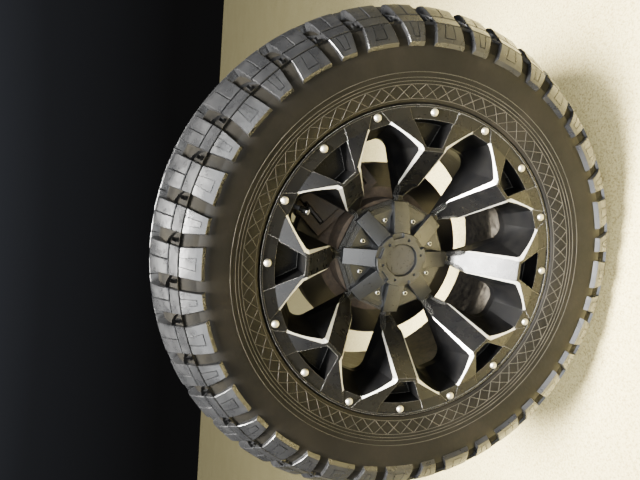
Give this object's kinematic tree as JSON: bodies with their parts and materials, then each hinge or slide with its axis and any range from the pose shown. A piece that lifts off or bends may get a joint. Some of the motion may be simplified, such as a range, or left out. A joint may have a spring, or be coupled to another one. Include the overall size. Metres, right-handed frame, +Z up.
{
  "type": "pickup truck wheel with hub, disc brake and knuckle",
  "caption": "Off-road pickup wheel: lugged tyre on a black split-spoke alloy wheel, on a hub with vented disc, caliper and steering knuckle; the wheel turns.",
  "frame": {"origin": "centre of the lower ball joint's bore in the knuckle", "axes": "+Z up, +Y along the axle towards the middle of the truck, +X towards the rear of the truck; the wheel's face looks along -Y"},
  "size_m": [0.8838, 0.3843, 0.8838],
  "materials": {
    "tyre_rubber": "matt tyre rubber",
    "barrel_paint": "satin dark grey paint, dusty inside",
    "face_paint": "satin black with milled window edges",
    "cap_paint": "satin black",
    "badge_paint": "satin black, bare",
    "screw_steel": "polished",
    "stud_steel": "polished",
    "valve_metal": "bright cap on a black stem",
    "nut_steel": "plated",
    "hub_steel": "machined, surface rust",
    "disc_iron": "machined friction faces",
    "knuckle_iron": "as cast, dusty",
    "bearing_steel": "forged, surface rust",
    "bolt_steel": "zinc plated, dulled",
    "shield_steel": "pressed sheet, dusty",
    "bracket_iron": "as cast, light rust",
    "caliper_iron": "as cast, rusty brown",
    "pad_lining": "friction lining on a steel plate",
    "hose_steel": "zinc plated"
  },
  "bodies": {
    "knuckle": {"knuckle": "knuckle_iron", "hub_bearing": "bearing_steel", "bearing_bolts": "bolt_steel", "dust_shield": "shield_steel", "caliper_bracket": "bracket_iron", "bracket_bolts": "bolt_steel", "caliper": "caliper_iron", "caliper_pins": "bolt_steel", "pad_outer": "pad_lining", "pad_inner": "pad_lining", "hose_fitting": "hose_steel"},
    "wheel": {"tyre": "tyre_rubber", "rim_barrel": "barrel_paint", "wheel_centre": "face_paint", "centre_cap": "cap_paint", "cap_badge": "badge_paint", "cap_screws": "screw_steel", "lip_studs": "stud_steel", "valve_stem": "valve_metal", "lug_nuts": "nut_steel", "hub_flange": "hub_steel", "brake_disc": "disc_iron"}
  },
  "joints": [
    {"name": "wheel_spin", "type": "hinge", "parent": "knuckle", "child": "wheel", "pos_m": [0, -0.1, 0.13], "axis": [0, 1, 0], "continuous": true}
  ]
}
